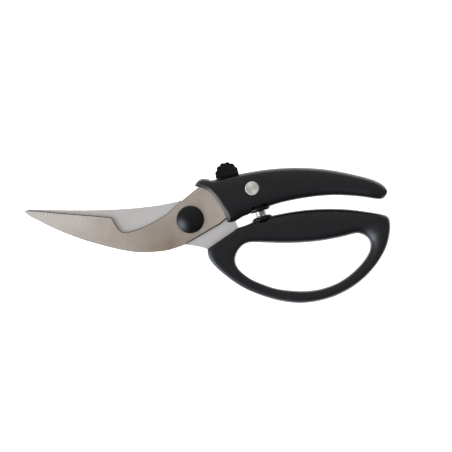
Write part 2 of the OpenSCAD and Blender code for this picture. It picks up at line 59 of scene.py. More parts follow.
def low(node):
    """Lowest corner of a CAD node, in millimetres."""
    return np.array(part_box(node)[0]) / MM


def high(node):
    """Highest corner of a CAD node, in millimetres."""
    return np.array(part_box(node)[1]) / MM


def centre(node):
    """Middle of a CAD node's box, in millimetres."""
    return (low(node) + high(node)) / 2


HANDLE_T = high("horn_handle")[2]              # thickness of both handles
MID_Z = HANDLE_T / 2                           # height of the shear plane
FRONT_Z0, FRONT_Z1 = low("front_blade")[2], high("front_blade")[2]
REAR_Z0, REAR_Z1 = low("rear_blade")[2], high("rear_blade")[2]
CAP_R = high("front_cap")[0]
HEAD_R = (high("rivet_front")[0] - low("rivet_front")[0]) / 2
RIVET = centre("rivet_front")[:2]
BUSH_R = high("pivot_bush")[0]

# ---- outlines, the same as the CAD's --------------------------------------

FRONT_BACK_EDGE = [
    (-113.4, 5.4), (-110.5, 2.7), (-104, -0.6), (-93, -6.1), (-81.6, -10.8), (-70, -14.8),
    (-58.1, -18.1), (-46.2, -20.9), (-34, -22.5), (-18.6, -21.6), (-9.8, -19.4), (-3.6, -17.2)]
FRONT_TANG = [
    (20.5, -3.1), (24.4, 0.2), (27.2, 2.8), (33, 6), (36, 13.6), (52, 17.6), (70, 18.8), (83, 20.4),
    (85.5, 22.4), (85.5, 26), (83, 28), (70, 29.2), (50, 28.6), (36, 27), (24, 24.8), (10, 23.6)]
BONE_NOTCH = [
    (5.6, 22), (-0.2, 17.5), (-5.3, 13.2), (-9.6, 9.8), (-13.4, 6), (-18, 2.2), (-23.4, -0.9),
    (-31, -4.9), (-38, -7.5), (-43.6, -8.9), (-47.4, -8.1), (-50, -5.2), (-52.1, -1.7), (-53.8, 0.8),
    (-56.4, 1.7)]
CUTTING_EDGE = [
    (-61.6, 2.15), (-75.3, 3.3), (-88.9, 4.5), (-99.9, 5.45), (-109.5, 6.3), (-112.6, 6.2)]

REAR_SPINE = [
    (-8.4, 12.43), (-20.7, 10), (-33, 8.4), (-45, 7.35), (-60.7, 6.6), (-85, 6.5), (-109.5, 7)]
REAR_EDGE = [
    (-112, 6.4), (-105, 2.6), (-95, -2.3), (-80, -7), (-60, -11), (-44, -13.2), (-28, -14.4),
    (-16, -15.6), (-3.6, -17.1)]
REAR_TANG = [
    (6.7, -18.7), (12, -20.4), (17.5, -26.2), (24, -25.6), (28.4, -22), (31.4, -18), (35, -14.6),
    (42, -13.9), (74, -13.9), (75.5, -12.4), (74, -10.9), (43, -10.9), (38, -8.4), (34.6, -6.4),
    (32.6, -5.4), (31.1, -1.7)]

# Pairs of points across the horn handle, upper edge and lower edge, from the collar to the tip
HORN_PAIRS = [
    ((2.8, 23.2), (23, -2)), ((4.1, 25.5), (24.3, -1.9)), ((6.2, 27.3), (26, -2.1)),
    ((8.8, 28), (28.2, -1.9)), ((13.1, 27.6), (30.5, -1.2)), ((16.8, 27.35), (32.6, -0.1)),
    ((25, 29.2), (36.7, 2.3)), ((36.4, 31.7), (42, 4.2)), ((48.5, 33.8), (50, 7.6)),
    ((60.8, 35.1), (61, 11.2)), ((73, 35.5), (73, 13.8)), ((85.7, 35), (85.5, 15.7)),
    ((97.9, 33.6), (97.8, 16.5)), ((110.1, 31.2), (108.5, 16.2)), ((122.1, 28.2), (119, 15.2)),
    ((128.8, 25.5), (127, 14)), ((132.7, 22.7), (131.6, 14.3)), ((134.6, 20), (134.1, 17))]
# The collar's front edge at the front blade's face, and its crest at the height of the handle's crown
COLLAR_EDGE = [
    (-4, 24.2), (2, 23), (7, 21.7), (12, 19.4), (16.8, 14.2), (20.9, 7.8), (24.1, 1.5), (26.6, -5)]
COLLAR_CREST = [
    (-4, 28.5), (3, 26.6), (8.4, 24.8), (13.6, 21.6), (18.8, 15.6), (23.2, 9), (28.6, 3.2), (33, -3)]

# The collar's two leans: height from the handle's face, share of the way from edge to crest
COLLAR_LEANS = [(-0.8, 0.72), (1, 1.35)]

# Sections around the loop handle: outer edge, inner edge, share of slimness
LOOP_SECTIONS = [
    ((12.2, -25), (31, -29.5), 0), ((15.5, -30.5), (32.2, -32.4), 0.1),
    ((21.4, -36.2), (34.6, -35.4), 0.3), ((28.7, -41.9), (38.3, -38.4), 0.5),
    ((36.5, -46.8), (43, -41.3), 0.8), ((44.8, -50.6), (49.5, -44), 1),
    ((53.5, -53.6), (57.3, -46.6), 1), ((62.4, -55.9), (65.5, -48), 1),
    ((74.8, -57.2), (75.6, -48.7), 1), ((87.2, -55.9), (85.2, -48), 1),
    ((99.1, -52.4), (94.8, -45.5), 1), ((110.2, -46.7), (103.5, -41.4), 1),
    ((119.9, -39), (111.3, -35.6), 0.9), ((128, -29.5), (117.6, -29), 0.7),
    ((134, -18.6), (121.8, -22.5), 0.4), ((136.5, -8), (122.9, -17.5), 0.2),
    ((136.4, -0.8), (122.2, -14.2), 0.1), ((134.6, 2.3), (120.4, -12), 0),
    ((130.6, 3.7), (117.3, -10.2), 0), ((122.3, 5.2), (112.6, -9.7), 0), ((110, 6.8), (104, -11.9), 0),
    ((97.7, 7.4), (91.6, -14.3), 0), ((85.3, 7.1), (79.2, -15.7), 0), ((73, 5.9), (66.6, -16.2), 0),
    ((61, 3.8), (54, -16), 0), ((48, 0.6), (45.5, -15.6), 0), ((38.5, -3.6), (39.6, -15.9), 0),
    ((30.5, -6.4), (35.4, -18), 0), ((20.5, -11.5), (32.2, -22), 0), ((12.4, -18.5), (30.8, -26), 0)]

SQUARENESS = 2.7                               # of the handles' sections, 2 is an ellipse
SLIM_BAR_T = 13                                # thickness of the loop's outer bar
CATCH_R = 30.6                                 # outer radius of the rear blade's catch
CATCH_DEG = 16                                 # top of the catch
CATCH_GAP = 2.4                                # room around the catch in the horn handle
CATCH_ROOM_DEG = -80                           # far end of that room
CATCH_BEVEL = 1.2                              # of the catch's upper corner
CATCH_BEVEL_TURN = 0.035                       # the same along its rim, in radians
HUB_R = 15
HUB_END_DEG = 124                              # where the hub meets the rear blade's spine
RECESS_SPARE_DEG = 0.4                         # room at each end of the stop pin's recess
RECESS_GAP = 0.3                               # and beside the pin
TIP_TAPER = 1.1                                # how much thinner each blade is at its tip
TAPER_X = -20
TIP_X = -113.4
EDGE_START = (-111, 6.45)                      # tip end of the serrated edge
EDGE_DEG = -4.7                                # slope of the serrated edge
FACET_W = 0.75                                 # steep facet along the cutting edge
FACET_SLOPE = 65
FACET_SPAN = (-20, 56)                         # stretch of the edge line that the facet's cutter takes
FACET_REACH = 10                               # size of that cutter across the edge
TANG_FACET_W = 0.8                             # the same along the tang's lower edge
NOTCH_FACET_W = 0.35
BACK_FACET_W = 0.15
GROOVES = 20
GROOVE_PITCH = 2.45
GROOVE_START = 4
GROOVE_LEN = 2.6
GROOVE_T = 0.6                                 # half height of a groove's cutter
GROOVE_SPREAD = 2                              # how much wider than deep the grooves are
GROOVE_START_T = 0.1                           # depth of a groove at its inner end
GROOVE_LEAN = 4.5                              # the grooves get deeper towards the edge
GROOVED_SPAN = (2, 54)                         # stretch of the edge line that holds the grooves
OPENING_DEG = 42
HORN_END_X = 122                               # where the horn handle starts to thin towards its tip
HORN_END_LEN = 13.5
HORN_TIP_SHARE = 0.8                           # how much of its roundness the tip has
LOOP_CORNER_SQUARENESS = 2.3                   # added to the squareness at the loop's left end
LOOP_END_LEAN = 0.35                           # of the section's crown at the loop's right end
TANG_MOUTH_DEG = 34.7                          # slope of the loop handle's face around the tang
TANG_MOUTH_AT = (11.8, -20.1, 0)
CAP_WALL = 1.2                                 # upright wall below the front cap's dome
CAP_ROOM = (6.02, 2.3)                         # radius and height of the room for the bolt's head
RIVET_HEAD_T = 1.2
RIVET_STEM_R = 1.9
RIVET_STEM_Z = 5                               # lower end of the rivet's stem

LATCH_DEG = 12.5                               # tilt of the latch's slide
LATCH_SLOT = (27.6, -3.6, 36, -1)              # corners of the slot in the catch, in the latch's frame
BUTTON = (31.2, 25.1)                          # centre of the thumb button, in the latch's frame
BUTTON_FOOT = 7.9                              # half width of the plain foot below its lobes
BUTTON_R = 8
BUTTON_T = 8
BUTTON_LIFT = 1.1                              # height of the lobed part above the track's floor
FOOT_INSET = 0.1                               # how much narrower the foot is at each end
FOOT_BACK = 3.2                                # reach of the foot behind the shear plane
FOOT_FRONT = 2.2                               # and in front of it
SCALLOP_T = 1.1                                # depth between the button's lobes
TRACK_V = 23                                   # floor of the button's track
TRACK_SPARE = 0.5                              # play between the button and the track's front end
FOOT_GAP = 0.03                                # clearance between that floor and the button
LATCH_TRAVEL = 4
# Corners (u0, v0, u1, v1) of the latch plate's arm, guide and tab, in the latch's frame
PLATE_PARTS = [(35, -3.4, 38.4, 15.5), (35, 7.9, 54.2, 15.5), (28.5, 7.9, 34.5, 40)]
PLATE_ROOM = 0.5                               # clearance around the plate inside the handle

SPRING_DEG = 16.5                              # tilt of the opening spring's axis
SPRING_R = 3.4
WIRE_D = 0.85
SEAT_GAP = 0.1                                 # between the spring's ends and the cups
TURNS = 16
SEAT_W = 9.4                                   # where the spring's ends sit, from its middle
CUP_END = 11
CUP_STEM_R = 5.6                               # cups' radius deep in the handles
CUP_GAP = 0.2                                  # clearance around the cups' flanges
CUP_BORE_GAP = 0.6                             # clearance around the spring in the cups' bores
CUP_SLOPE = 1.4                                # height of the slope from a cup's flange to its stem
SPRING_MID = centre("opening_spring")
# Each cup's mouth, as (radius, distance from the spring's middle)
UPPER_MOUTH = [(6.2, 2.2), (6.8, 2.6), (7.4, 3.6), (7.4, 4.4)]
LOWER_MOUTH = [(4.9, 1.3), (6.6, 2.0), (7.1, 2.9), (7.2, 3.7)]
UPPER_FLANGE = (7.4, 6.2)
LOWER_FLANGE = (7.2, 5.6)


def turned(degrees, at=(0, 0, 0)):
    """A place turned about Z by degrees, at a point."""
    return Matrix.Translation(Vector(at)) @ Matrix.Rotation(math.radians(degrees), 4, "Z")


LATCH_FRAME = turned(LATCH_DEG)
SPRING_FRAME = turned(SPRING_DEG, SPRING_MID) @ Matrix.Rotation(math.radians(90), 4, "X")
FLIP = Matrix.Rotation(math.pi, 4, "X")


# ---- curves and meshes ----------------------------------------------------

def smooth(points, steps, closed=False):
    """A smooth curve through the points, in so many steps per span."""
    p = np.array(points, float)
    count = len(p)
    spans = np.arange(count if closed else count - 1)

    def shifted(k):
        return p[(spans + k) % count] if closed else p[np.clip(spans + k, 0, count - 1)]

    a, b, c, d = (shifted(k)[:, None] for k in (-1, 0, 1, 2))
    t = (np.arange(steps) / steps)[None, :, None]
    curve = 0.5 * (2 * b + (c - a) * t + (2 * a - 5 * b + 4 * c - d) * t**2 + (3 * b - a - 3 * c + d) * t**3)
    curve = curve.reshape(-1, p.shape[1])
    return curve if closed else np.vstack([curve, p[-1:]])


def arc(radius, start, end, count):
    """Points on an arc about the origin, angles in degrees."""
    a = np.radians(np.linspace(start, end, count))
    return np.column_stack([radius * np.cos(a), radius * np.sin(a)])


def mesh_object(name, points, faces, place=None):
    """An object in the scene from points in millimetres."""
    mesh = bpy.data.meshes.new(name)
    mesh.from_pydata((np.array(points, float) * MM).tolist(), [], faces)
    if place is not None:
        scaled = place.copy()
        scaled.translation *= MM
        mesh.transform(scaled)
    bm = bmesh.new()
    bm.from_mesh(mesh)
    bmesh.ops.recalc_face_normals(bm, faces=bm.faces)
    bm.to_mesh(mesh)
    bm.free()
    made = bpy.data.objects.new(name, mesh)
    bpy.context.scene.collection.objects.link(made)
    return made


def prism(name, outline, z0, z1, place=None):
    """A flat outline raised from z0 to z1."""
    n = len(outline)
    points = [(x, y, z) for z in (z0, z1) for x, y in outline]
    walls = [(k, (k + 1) % n, n + (k + 1) % n, n + k) for k in range(n)]
    return mesh_object(name, points, [list(range(n))[::-1], list(range(n, 2 * n))] + walls, place)


def block(name, x0, y0, z0, x1, y1, z1, place=None):
    return prism(name, [(x0, y0), (x1, y0), (x1, y1), (x0, y1)], z0, z1, place)


def lathe(name, profile, sides, place=None):
    """A profile of (radius, height) turned about Z. Points on the axis become poles."""
    points, rings = [], []
    for r, z in profile:
        if r < 1e-9:
            rings.append([len(points)] * sides)
            points.append((0, 0, z))
        else:
            rings.append(list(range(len(points), len(points) + sides)))
            points += [(r * math.cos(a), r * math.sin(a), z) for a in 2 * math.pi * np.arange(sides) / sides]
    faces = []
    for below, above in zip(rings, rings[1:] + rings[:1]):
        for k in range(sides):
            n = (k + 1) % sides
            corners = list(dict.fromkeys([below[k], below[n], above[n], above[k]]))
            if len(corners) > 2:
                faces.append(corners)
    return mesh_object(name, points, faces, place)


def cylinder(name, radius, z0, z1, sides=64, place=None):
    return lathe(name, [(0, z0), (radius, z0), (radius, z1), (0, z1)], sides, place)


def skin(name, rings, closed):
    """A skin over rings of points, closed in a loop or capped at both ends."""
    count, sides = len(rings), len(rings[0])
    faces = []
    for i in range(count if closed else count - 1):
        a, b = i * sides, (i + 1) % count * sides
        faces += [(a + k, a + (k + 1) % sides, b + (k + 1) % sides, b + k) for k in range(sides)]
    if not closed:
        faces += [list(range(sides))[::-1], list(range((count - 1) * sides, count * sides))]
    return mesh_object(name, np.concatenate(rings), faces)


def apply_modifiers(thing):
    """Leaves the object with the mesh that its modifiers make."""
    depsgraph = bpy.context.evaluated_depsgraph_get()
    mesh = bpy.data.meshes.new_from_object(thing.evaluated_get(depsgraph), depsgraph=depsgraph)
    thing.modifiers.clear()
    old = thing.data
    thing.data = mesh
    bpy.data.meshes.remove(old)
    mesh.name = thing.name


def cut(thing, *cutters, solver="EXACT"):
    """Takes the cutters away from the object."""
    for cutter in cutters:
        step = thing.modifiers.new("cut", "BOOLEAN")
        step.operation = "DIFFERENCE"
        step.solver = solver
        step.object = cutter
    apply_modifiers(thing)
    for cutter in cutters:
        bpy.data.objects.remove(cutter)


def soften(thing, voxel, passes):
    """Remeshes a moulded part evenly, with its sharp edges rounded as a mould leaves them."""
    remesh = thing.modifiers.new("remesh", "REMESH")
    remesh.mode = "VOXEL"
    remesh.voxel_size = voxel * MM
    remesh.use_smooth_shade = True
    relax = thing.modifiers.new("relax", "SMOOTH")
    relax.factor = 0.5
    relax.iterations = passes
    apply_modifiers(thing)


def break_edges(thing, width):
    """A small bevel along the sharp edges, as deburring leaves."""
    bevel = thing.modifiers.new("bevel", "BEVEL")
    bevel.width = width * MM
    bevel.segments = 2
    bevel.limit_method = "ANGLE"
    bevel.angle_limit = math.radians(35)
    apply_modifiers(thing)


def shade(thing, degrees=30):
    """Smooth shading, broken where faces meet at more than this angle."""
    mesh = thing.data
    bm = bmesh.new()
    bm.from_mesh(mesh)
    limit = math.radians(degrees)
    for edge in bm.edges:
        edge.smooth = len(edge.link_faces) == 2 and edge.calc_face_angle(0) < limit
    for face in bm.faces:
        face.smooth = True
    bm.to_mesh(mesh)
    bm.free()
    weighted = thing.modifiers.new("weighted", "WEIGHTED_NORMAL")
    weighted.keep_sharp = True
    weighted.weight = 100
    apply_modifiers(thing)


def finish_piece(thing, body, node, material):
    """Rides on a body in place of a CAD node, with its material."""
    thing.data.materials.clear()
    for m in material if isinstance(material, (list, tuple)) else [material]:
        thing.data.materials.append(m)
    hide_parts(node)
    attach(thing, body)


# ---- materials ------------------------------------------------------------

def node(tree, kind, inputs=None, **settings):
    """A shader node with its settings. Each input is a value or another node's output."""
    made = tree.nodes.new(kind)
    for key, value in settings.items():
        setattr(made, key, value)
    for key, value in (inputs or {}).items():
        if isinstance(value, bpy.types.NodeSocket):
            tree.links.new(value, made.inputs[key])
        else:
            made.inputs[key].default_value = value
    return made


def material(name, **values):
    """A new material and its surface shader, with plain values set on the shader's own sockets."""
    made = bpy.data.materials.new(name)
    made.use_nodes = True
    surface = made.node_tree.nodes["Principled BSDF"]
    for key, value in values.items():
        surface.inputs[key.replace("_", " ")].default_value = value
    return made, made.node_tree, surface


def place_mm(tree, scale=(1, 1, 1), at=(0, 0, 0), degrees=0):
    """The object's coordinates in millimetres from a point, turned and stretched."""
    where = node(tree, "ShaderNodeTexCoord").outputs["Object"]
    size = [s / MM for s in scale]
    turn = math.radians(-degrees)
    moved = node(tree, "ShaderNodeVectorMath", {0: where, 1: [v * MM for v in at]}, operation="SUBTRACT")
    mapped = node(tree, "ShaderNodeMapping", {"Vector": moved.outputs[0], "Rotation": (0, 0, turn)})
    sized = node(tree, "ShaderNodeVectorMath", {0: mapped.outputs[0], 1: size}, operation="MULTIPLY")
    return sized.outputs[0]


def noise(tree, vector, scale, detail=2.0, roughness=0.5):
    made = node(tree, "ShaderNodeTexNoise", {"Vector": vector, "Scale": scale, "Detail": detail,
                                             "Roughness": roughness})
    return made.outputs["Fac"]


def ranged(tree, value, low_out, high_out, low_in=0.0, high_in=1.0):
    made = node(tree, "ShaderNodeMapRange", {"Value": value, "From Min": low_in, "From Max": high_in,
                                             "To Min": low_out, "To Max": high_out})
    return made.outputs["Result"]


def mixed(tree, share, a, b):
    """A colour between a and b."""
    made = node(tree, "ShaderNodeMix", data_type="RGBA")
    for socket, value in ((0, share), (6, a), (7, b)):
        if isinstance(value, bpy.types.NodeSocket):
            tree.links.new(value, made.inputs[socket])
        else:
            made.inputs[socket].default_value = value
    return made.outputs[2]


def bumped(tree, surface, height, depth, strength=1.0, under=None):
    """Raises the surface by height, up to depth in millimetres."""
    inputs = {"Height": height, "Distance": depth * MM, "Strength": strength}
    if under is not None:
        inputs["Normal"] = under
    made = node(tree, "ShaderNodeBump", inputs)
    tree.links.new(made.outputs["Normal"], surface.inputs["Normal"])
    return made.outputs["Normal"]


def math_node(tree, operation, a, b=0.0):
    return node(tree, "ShaderNodeMath", {0: a, 1: b}, operation=operation).outputs[0]


def colour(r, g, b):
    return (r, g, b, 1.0)


def moulded_plastic(name, base, worn, roughness, grain, gloss, parting=None):
    """Black plastic: spark-eroded grain, handling polish and, with parting, a line at that height."""
    made, tree, surface = material(name, Specular_IOR_Level=gloss)
    at = place_mm(tree)
    cloud = noise(tree, at, 0.12, 3.0)
    polish = ranged(tree, cloud, 0, 1, 0.35, 0.7)
    tree.links.new(mixed(tree, polish, base, worn), surface.inputs["Base Color"])
    speckle = noise(tree, at, 2.6, 2.0, 0.6)
    rough = math_node(tree, "ADD", ranged(tree, cloud, roughness + 0.05, roughness - 0.05, 0.3, 0.7),
                      ranged(tree, speckle, -0.04, 0.04))
    tree.links.new(rough, surface.inputs["Roughness"])
    normal = bumped(tree, surface, speckle, grain)
    if parting is not None:
        height = node(tree, "ShaderNodeSeparateXYZ", {0: at}).outputs["Z"]
        away = math_node(tree, "ABSOLUTE", math_node(tree, "SUBTRACT", height, parting))
        ridge = ranged(tree, away, 1, 0, 0.04, 0.16)
        bumped(tree, surface, ridge, 0.06, under=normal)
    return made


def ground_steel(name, pale, dark, roughness, degrees, grit, hub=None):
    """Satin steel with grinding lines along a direction. With hub, a point and a distance, painted shade
    makes it darker at that point than at that distance from it."""
    made, tree, surface = material(name, Metallic=1.0)
    lines_at = place_mm(tree, (0.05, 1, 0.2), degrees=degrees)
    lines = noise(tree, lines_at, 9.0, 3.0, 0.65)
    fine = noise(tree, lines_at, 30.0, 2.0, 0.5)
    cloud = noise(tree, place_mm(tree), 0.06, 2.0)
    share = ranged(tree, cloud, 0.0, 0.25, 0.3, 0.7)
    # Painted shade: the base colour darkens towards the hub point.
    if hub is not None:
        away = node(tree, "ShaderNodeVectorMath", {0: place_mm(tree, (1, 1, 0), hub[0])}, operation="LENGTH")
        share = math_node(tree, "ADD", share, ranged(tree, away.outputs["Value"], 0.8, -0.1, 0, hub[1]))
    share = math_node(tree, "ADD", share, ranged(tree, lines, -0.12, 0.12))
    tree.links.new(mixed(tree, share, pale, dark), surface.inputs["Base Color"])
    rough = ranged(tree, lines, roughness - 0.06, roughness + 0.06, 0.3, 0.7)
    tree.links.new(rough, surface.inputs["Roughness"])
    height = math_node(tree, "ADD", lines, math_node(tree, "MULTIPLY", fine, 0.5))
    bumped(tree, surface, height, grit)
    return made


def turned_steel(name, at, base, roughness, pitch):
    """Steel with the rings that a lathe tool leaves about a point."""
    made, tree, surface = material(name, Metallic=1.0, Anisotropic=0.5)
    here = place_mm(tree, at=(at[0], at[1], 0))
    rings = node(tree, "ShaderNodeTexWave", {"Vector": here, "Scale": 0.314 / pitch, "Distortion": 0.6,
                                             "Detail": 2.0, "Detail Scale": 0.3},
                 wave_type="RINGS", rings_direction="Z").outputs["Fac"]
    grime = noise(tree, here, 0.9, 3.0)
    dull = colour(*[0.72 * v for v in base[:3]])
    dirt = ranged(tree, grime, 0, 0.6, 0.45, 0.75)
    tree.links.new(mixed(tree, dirt, base, dull), surface.inputs["Base Color"])
    rough = ranged(tree, grime, roughness - 0.04, roughness + 0.1, 0.3, 0.7)
    tree.links.new(rough, surface.inputs["Roughness"])
    tangent = node(tree, "ShaderNodeTangent", direction_type="RADIAL", axis="Z")
    tree.links.new(tangent.outputs[0], surface.inputs["Tangent"])
    bumped(tree, surface, rings, 0.004)
    return made


def plated_metal(name, base, roughness):
    """Plated or drawn metal with faint cloudy stains."""
    made, tree, surface = material(name, Metallic=1.0)
    at = place_mm(tree)
    cloud = noise(tree, at, 0.5, 4.0)
    stained = colour(*[0.8 * v for v in base[:3]])
    tree.links.new(mixed(tree, cloud, base, stained), surface.inputs["Base Color"])
    tree.links.new(ranged(tree, cloud, roughness - 0.05, roughness + 0.1), surface.inputs["Roughness"])
    bumped(tree, surface, noise(tree, at, 6.0, 2.0), 0.004)
    return made


HANDLE_PLASTIC = moulded_plastic(
    "handle_plastic", colour(0.0026, 0.0026, 0.0028), colour(0.0042, 0.0042, 0.0044), 0.30, 0.005, 0.39,
    parting=MID_Z)
BUTTON_PLASTIC = moulded_plastic(
    "button_plastic", colour(0.003, 0.003, 0.0032), colour(0.005, 0.005, 0.0052), 0.40, 0.006, 0.05)
CAP_PLASTIC = moulded_plastic(
    "cap_plastic", colour(0.002, 0.002, 0.0022), colour(0.003, 0.003, 0.003), 0.24, 0.003, 0.25)
# The front blade's hub paints shade: darker towards the pivot end, lighter towards the tip.
FRONT_STEEL = ground_steel(
    "front_steel", colour(0.91, 0.83, 0.73), colour(0.43, 0.33, 0.245), 0.42, 0, 0.0025,
    hub=((-12, -19, 0), 85))
# Near-black steel for the front blade's facets and some walls: painted shade, standing in for the shadow
# lines along its edges.
PAINTED_SHADE_STEEL = ground_steel(
    "painted_shade_steel", colour(0.075, 0.068, 0.06), colour(0.05, 0.044, 0.038), 0.5, 0, 0.003)
GROOVE_STEEL = plated_metal("groove_steel", colour(0.70, 0.665, 0.61), 0.40)
REAR_STEEL = ground_steel(
    "rear_steel", colour(0.78, 0.735, 0.68), colour(0.65, 0.60, 0.53), 0.5, 90, 0.0025)
# A darker copy of the steel for the blades' walls: painted shade, so that they don't show the bright floor.
SHADED_WALL_STEEL = ground_steel(
    "shaded_wall_steel", colour(0.24, 0.227, 0.213), colour(0.17, 0.159, 0.149), 0.45, 0, 0.0025)
RIVET_STEEL = turned_steel("rivet_steel", RIVET, colour(0.90, 0.87, 0.79), 0.34, 0.28)
FASTENER_STEEL = plated_metal("fastener_steel", colour(0.55, 0.55, 0.56), 0.35)
SPRING_STEEL = plated_metal("spring_steel", colour(0.92, 0.89, 0.83), 0.22)
BUSH_BRASS = plated_metal("bush_brass", colour(0.72, 0.52, 0.24), 0.3)


# ---- blades ---------------------------------------------------------------

def taper_cutter(face_z, way):
    """Everything beyond a face that leans towards mid thickness at the blade's tip."""
    lean = -way * math.atan(TIP_TAPER / (TAPER_X - TIP_X))
    place = Matrix.Translation((TAPER_X, 0, face_z)) @ Matrix.Rotation(lean, 4, "Y")
    z0, z1 = (0, 20) if way > 0 else (-20, 0)
    return block("taper", -150, -60, z0, 0, 60, z1, place)


def on_edge(x, y, z, tilt):
    """A place along the cutting edge: x along it, z out of the blade's tapered face, then tilted about x."""
    lean = -math.atan(TIP_TAPER / (TAPER_X - TIP_X))
    return (Matrix.Translation((TAPER_X, 0, FRONT_Z1)) @ Matrix.Rotation(lean, 4, "Y")
            @ turned(EDGE_DEG, (EDGE_START[0] - TAPER_X, EDGE_START[1], 0)) @ Matrix.Translation((x, y, z))
            @ Matrix.Rotation(math.radians(tilt), 4, "X"))


def groove(k):
    """One vee groove ground across the edge."""
    w = GROOVE_SPREAD * GROOVE_T
    place = on_edge(GROOVE_START + k * GROOVE_PITCH, -GROOVE_LEN, GROOVE_T - GROOVE_START_T,
                    -90 - GROOVE_LEAN)
    return prism("groove", [(w, 0), (0, GROOVE_T), (-w, 0), (0, -GROOVE_T)], 0, GROOVE_LEN + 1, place)


def is_wall(face):
    """Whether a blade's face is part of its thickness."""
    return abs(face.normal.z) < 0.3


def paint_edge_shade(blade):
    """Gives the front blade's facets, walls and grooves their materials: near-black painted shade on the
    facets and on the walls facing +Y or by the tang, and darker painted-shade steel on the other walls.
    """
    to_edge = on_edge(0, 0, 0, 0).inverted()
    along = on_edge(0, 0, 0, 0).to_3x3() @ Vector((1, 0, 0))
    for face in blade.data.polygons:
        n = face.normal
        spot = to_edge @ (face.center / MM)
        in_teeth = GROOVED_SPAN[0] < spot.x < GROOVED_SPAN[1] and -GROOVE_LEN - 0.2 < spot.y
        if in_teeth and n.z > 0.3 and abs(n.dot(along)) > 0.25:
            face.material_index = 2
        # Painted shade: the facets, and the walls facing +Y or by the tang, get the near-black steel.
        elif 0.3 < n.z < 0.5 or (is_wall(face) and (n.y > 0.1 or face.center.x > -4 * MM)):
            face.material_index = 1
        # Painted shade: the other walls get the darker wall steel.
        elif is_wall(face):
            face.material_index = 3


def steep_facet(line, width):
    """A cutter for a facet on the front blade's face, along a line that has the blade on its left."""
    line = np.array(line, float)
    ahead = np.gradient(line, axis=0)
    left = np.column_stack([-ahead[:, 1], ahead[:, 0]]) / np.linalg.norm(ahead, axis=1)[:, None]
    spare, over = 1, 3
    drop = (width + spare) * math.tan(math.radians(FACET_SLOPE))
    rings = []
    for point, side in zip(line, left):
        face_z = FRONT_Z1 - TIP_TAPER * max(0, TAPER_X - point[0]) / (TAPER_X - TIP_X)
        inner, outer = point + width * side, point - spare * side
        rings.append([(*inner, face_z), (*inner, face_z + over),
                      (*outer, face_z + over), (*outer, face_z - drop)])
    return skin("steep_facet", rings, closed=False)


def make_front_blade():
    back, notch = smooth(FRONT_BACK_EDGE, 10), smooth(BONE_NOTCH, 8)
    outline = np.vstack([back, FRONT_TANG, notch, CUTTING_EDGE])
    blade = prism("front_blade_ground", outline, FRONT_Z0, FRONT_Z1)
    facet = block("facet", FACET_SPAN[0], 0, 0, FACET_SPAN[1], FACET_REACH, FACET_REACH,
                  on_edge(0, -FACET_W, 0, -FACET_SLOPE))
    cut(blade, taper_cutter(FRONT_Z1, 1), facet, steep_facet(notch, NOTCH_FACET_W),
        steep_facet(FRONT_BACK_EDGE[-1:] + FRONT_TANG[:3], TANG_FACET_W), steep_facet(back, BACK_FACET_W),
        solver="MANIFOLD")
    cut(blade, cylinder("bore", BUSH_R, FRONT_Z0 - 1, FRONT_Z1 + 1), *[groove(k) for k in range(GROOVES)],
        solver="MANIFOLD")
    shade(blade, 20)
    # The second and fourth materials paint shade on the blade's facets and walls.
    finish_piece(blade, "front_half", "front_blade", [FRONT_STEEL, PAINTED_SHADE_STEEL, GROOVE_STEEL, SHADED_WALL_STEEL])
    paint_edge_shade(blade)
    return blade


def stop_recess():
    """The recess in the rear blade's hub that runs along the stop pin."""
    pin = centre("stop_pin")[:2]
    radius = float(np.hypot(*pin))
    pin_r = (high("stop_pin")[0] - low("stop_pin")[0]) / 2
    middle = math.degrees(math.atan2(pin[1], pin[0]))
    spare = math.degrees(math.asin(pin_r / radius)) + RECESS_SPARE_DEG
    outer = arc(HUB_R * 1.3, middle - spare, middle + spare + OPENING_DEG, 24)
    inner = arc(radius - pin_r - RECESS_GAP, middle + spare + OPENING_DEG, middle - spare, 24)
    return prism("recess", np.vstack([outer, inner]), REAR_Z0 - 1, REAR_Z1 + 1)


def make_rear_blade():
    top = math.radians(CATCH_DEG)
    rim = top - CATCH_BEVEL_TURN
    catch = [(CATCH_R * math.cos(rim), CATCH_R * math.sin(rim)),
             ((CATCH_R - CATCH_BEVEL) * math.cos(top), (CATCH_R - CATCH_BEVEL) * math.sin(top))]
    hub = arc(HUB_R, CATCH_DEG, HUB_END_DEG, 40)
    outline = np.vstack([smooth(REAR_EDGE, 10), REAR_TANG, catch, hub, smooth(REAR_SPINE, 8)])
    blade = prism("rear_blade_ground", outline, REAR_Z0, REAR_Z1)
    u0, v0, u1, v1 = LATCH_SLOT
    slot = block("slot", u0, v0, REAR_Z0 - 1, u1, v1, REAR_Z1 + 1, LATCH_FRAME)
    cut(blade, taper_cutter(REAR_Z0, -1), stop_recess(), slot)
    break_edges(blade, width=0.14)
    cut(blade, cylinder("bore", BUSH_R + 0.05, REAR_Z0 - 1, REAR_Z1 + 1))
    shade(blade)
    finish_piece(blade, "rear_half", "rear_blade", [REAR_STEEL, SHADED_WALL_STEEL])
    # Painted shade: the rear blade's walls get the darker wall steel.
    for face in blade.data.polygons:
        face.material_index = int(is_wall(face))
    return blade


# ---- handles --------------------------------------------------------------

def ring(outer, inner, thickness, squareness=SQUARENESS, lean=0, sides=72):
    """Points of a rounded section between two edges. With lean, its crown is nearer the outer edge."""
    a = (np.arange(sides) + 0.5) * 2 * np.pi / sides
    across = np.sign(np.cos(a)) * np.abs(np.cos(a)) ** (2 / squareness)
    up = np.sign(np.sin(a)) * np.abs(np.sin(a)) ** (2 / squareness)
    across = across + lean * (1 - across**2)
    middle, half = (outer + inner) / 2, (outer - inner) / 2
    flat = middle + across[:, None] * half
    return np.column_stack([flat, MID_Z + up * thickness / 2])


